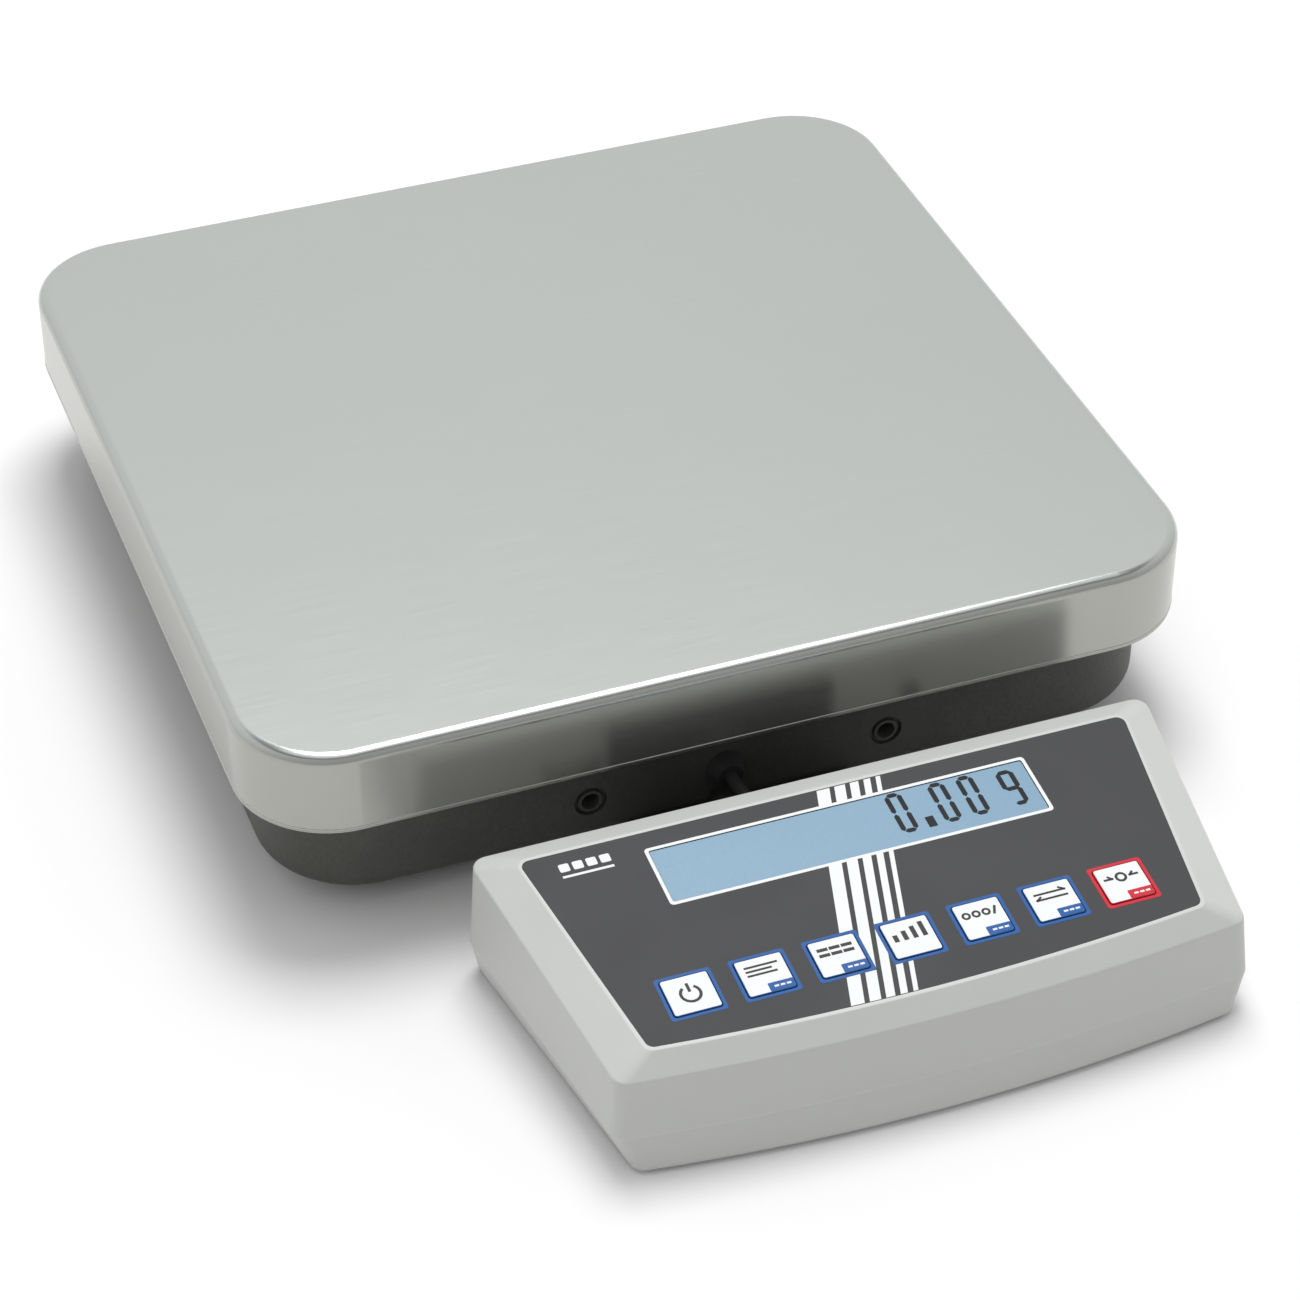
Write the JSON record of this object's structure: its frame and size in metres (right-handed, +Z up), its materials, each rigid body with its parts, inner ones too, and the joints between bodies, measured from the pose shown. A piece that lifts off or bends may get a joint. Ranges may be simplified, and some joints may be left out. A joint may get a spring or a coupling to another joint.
{
  "type": "counting scale",
  "caption": "Low bench counting scale: square stainless load plate on a dark base with levelling feet, and a sloped display head with a key row joined in front by a bracket and short lead.",
  "frame": {"origin": "bottom centre of the overall box, on the floor", "axes": "+X right, +Y from the display head to the back of the platform, +Z up"},
  "size_m": [0.315, 0.4394, 0.07],
  "materials": {
    "stainless_brushed": "brushed stainless sheet",
    "steel_sheet": "plain cold rolled sheet",
    "cast_aluminium": "raw pressure die casting",
    "rubber_black": "matt moulded rubber",
    "cell_aluminium": "clear anodised",
    "gauge_silicone": "white silicone sealant",
    "zinc_steel": "bright zinc plated",
    "black_steel": "black powder coat",
    "base_paint": "dark anthracite textured coat",
    "level_cup_plastic": "white moulded plastic",
    "level_fluid": "tinted liquid",
    "clear_lens": "clear acrylic",
    "circuit_board": "solder resist on glass fibre",
    "connector_plastic": "black moulded plastic",
    "lead_grey": "grey cable sheath",
    "port_metal": "nickel plated shell",
    "head_plastic": "light grey ABS, fine spark texture",
    "foil_grey": "screen printed polyester foil",
    "key_blue_edge": "white with a blue border",
    "key_red_edge": "white with a red border",
    "display_blue": "reflective liquid crystal",
    "backlight_plastic": "white diffuser"
  },
  "bodies": {
    "scale_body": {"base_gland": "rubber_black", "base_housing": "base_paint", "board_ribbon": "lead_grey", "bracket_base_screws": "black_steel", "bracket_head_screws": "black_steel", "case_screws": "zinc_steel", "cell_lead": "lead_grey", "cell_lead_plug": "connector_plastic", "cell_screws": "zinc_steel", "converter_board": "circuit_board", "converter_plug": "connector_plastic", "converter_screws": "zinc_steel", "display_backlight": "backlight_plastic", "display_frame": "connector_plastic", "display_glass": "display_blue", "display_window": "clear_lens", "front_board": "circuit_board", "front_board_screws": "zinc_steel", "gauge_covers": "gauge_silicone", "head_bracket": "black_steel", "head_feet": "rubber_black", "head_gland": "rubber_black", "head_lower_shell": "head_plastic", "head_upper_shell": "head_plastic", "interface_board": "circuit_board", "interface_screws": "zinc_steel", "key_switches": "connector_plastic", "keypad_foil": "foil_grey", "lead_plug": "connector_plastic", "level_cup": "level_cup_plastic", "level_fluid": "level_fluid", "level_lens": "clear_lens", "link_lead": "rubber_black", "load_cell": "cell_aluminium", "lower_spacer": "steel_sheet", "overload_stops": "zinc_steel", "power_socket": "connector_plastic", "serial_port": "port_metal", "stop_lock_nuts": "zinc_steel"},
    "weigh_carrier": {"plate_carrier": "cast_aluminium", "upper_spacer": "steel_sheet", "carrier_screws": "zinc_steel", "support_pads": "rubber_black"},
    "load_plate": {"load_plate": "stainless_brushed", "plate_stiffener": "steel_sheet"},
    "key_1_cap": {"key_1": "key_blue_edge"},
    "key_2_cap": {"key_2": "key_blue_edge"},
    "key_3_cap": {"key_3": "key_blue_edge"},
    "key_4_cap": {"key_4": "key_blue_edge"},
    "key_5_cap": {"key_5": "key_blue_edge"},
    "key_6_cap": {"key_6": "key_blue_edge"},
    "key_7_cap": {"key_7": "key_red_edge"},
    "foot_1": {"foot_pad_1": "rubber_black"},
    "foot_1_stud": {"foot_screw_1": "zinc_steel"},
    "foot_2": {"foot_pad_2": "rubber_black"},
    "foot_2_stud": {"foot_screw_2": "zinc_steel"},
    "foot_3": {"foot_pad_3": "rubber_black"},
    "foot_3_stud": {"foot_screw_3": "zinc_steel"},
    "foot_4": {"foot_pad_4": "rubber_black"},
    "foot_4_stud": {"foot_screw_4": "zinc_steel"}
  },
  "joints": [
    {"name": "weighing_deflection", "type": "slide", "parent": "scale_body", "child": "weigh_carrier", "axis": [0, 0, 1], "range_m": [-0.0005, 0], "stiffness_N_per_m": 200000, "springref_m": 0.0002, "deforming": ["load_cell"]},
    {"name": "plate_lift", "type": "slide", "parent": "weigh_carrier", "child": "load_plate", "axis": [0, 0, 1], "range_m": [0, 0.06]},
    {"name": "key_1_press", "type": "slide", "parent": "scale_body", "child": "key_1_cap", "axis": [0, 0.0993, -0.9951], "range_m": [0, 0.0005], "stiffness_N_per_m": 3000, "springref_m": -0.0003},
    {"name": "key_2_press", "type": "slide", "parent": "scale_body", "child": "key_2_cap", "axis": [0, 0.0993, -0.9951], "range_m": [0, 0.0005], "stiffness_N_per_m": 3000, "springref_m": -0.0003},
    {"name": "key_3_press", "type": "slide", "parent": "scale_body", "child": "key_3_cap", "axis": [0, 0.0993, -0.9951], "range_m": [0, 0.0005], "stiffness_N_per_m": 3000, "springref_m": -0.0003},
    {"name": "key_4_press", "type": "slide", "parent": "scale_body", "child": "key_4_cap", "axis": [0, 0.0993, -0.9951], "range_m": [0, 0.0005], "stiffness_N_per_m": 3000, "springref_m": -0.0003},
    {"name": "key_5_press", "type": "slide", "parent": "scale_body", "child": "key_5_cap", "axis": [0, 0.0993, -0.9951], "range_m": [0, 0.0005], "stiffness_N_per_m": 3000, "springref_m": -0.0003},
    {"name": "key_6_press", "type": "slide", "parent": "scale_body", "child": "key_6_cap", "axis": [0, 0.0993, -0.9951], "range_m": [0, 0.0005], "stiffness_N_per_m": 3000, "springref_m": -0.0003},
    {"name": "key_7_press", "type": "slide", "parent": "scale_body", "child": "key_7_cap", "axis": [0, 0.0993, -0.9951], "range_m": [0, 0.0005], "stiffness_N_per_m": 3000, "springref_m": -0.0003},
    {"name": "foot_1_height", "type": "slide", "parent": "scale_body", "child": "foot_1", "axis": [0, 0, 1], "range_m": [-0.0025, 0.0025]},
    {"name": "foot_1_turn", "type": "hinge", "parent": "foot_1", "child": "foot_1_stud", "pos_m": [-0.122, -0.049, 0.006], "axis": [0, 0, 1], "range_deg": [-720, 720]},
    {"name": "foot_2_height", "type": "slide", "parent": "scale_body", "child": "foot_2", "axis": [0, 0, 1], "range_m": [-0.0025, 0.0025]},
    {"name": "foot_2_turn", "type": "hinge", "parent": "foot_2", "child": "foot_2_stud", "pos_m": [0.122, -0.049, 0.006], "axis": [0, 0, 1], "range_deg": [-720, 720]},
    {"name": "foot_3_height", "type": "slide", "parent": "scale_body", "child": "foot_3", "axis": [0, 0, 1], "range_m": [-0.0025, 0.0025]},
    {"name": "foot_3_turn", "type": "hinge", "parent": "foot_3", "child": "foot_3_stud", "pos_m": [-0.122, 0.184, 0.006], "axis": [0, 0, 1], "range_deg": [-720, 720]},
    {"name": "foot_4_height", "type": "slide", "parent": "scale_body", "child": "foot_4", "axis": [0, 0, 1], "range_m": [-0.0025, 0.0025]},
    {"name": "foot_4_turn", "type": "hinge", "parent": "foot_4", "child": "foot_4_stud", "pos_m": [0.122, 0.184, 0.006], "axis": [0, 0, 1], "range_deg": [-720, 720]}
  ],
  "couplings": [
    {"joint": "foot_1_turn", "follows": "foot_1_height", "rad_per_m": 5026.5},
    {"joint": "foot_2_turn", "follows": "foot_2_height", "rad_per_m": 5026.5},
    {"joint": "foot_3_turn", "follows": "foot_3_height", "rad_per_m": 5026.5},
    {"joint": "foot_4_turn", "follows": "foot_4_height", "rad_per_m": 5026.5}
  ]
}
